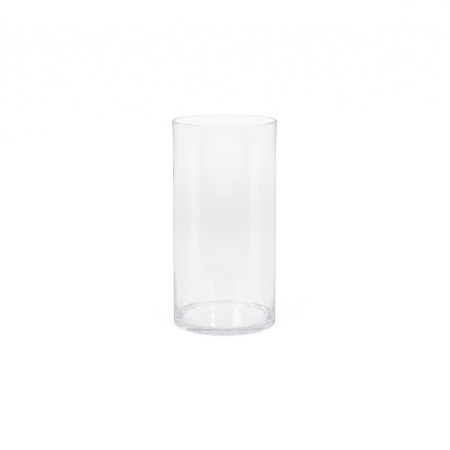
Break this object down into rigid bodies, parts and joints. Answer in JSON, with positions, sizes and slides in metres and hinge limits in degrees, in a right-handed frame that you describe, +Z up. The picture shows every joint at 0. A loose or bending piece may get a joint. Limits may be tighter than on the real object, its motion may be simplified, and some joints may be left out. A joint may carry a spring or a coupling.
{
  "type": "glass cylinder vase",
  "caption": "Clear glass cylinder vase with a rounded lip, a thin straight wall that thickens into a heavy base, and a flat foot ring.",
  "frame": {"origin": "middle of the foot, on the plane of the flat ring that the vase stands on", "axes": "+Z up along the axis of the cylinder, out of the mouth; X and Y lie in the plane of the foot and are alike"},
  "size_m": [0.15, 0.15, 0.3],
  "materials": {
    "clear_glass": "clear, colourless, fire-polished; faint cool grey where the glass is thick"
  },
  "bodies": {
    "root": {"vase": "clear_glass"}
  },
  "joints": []
}
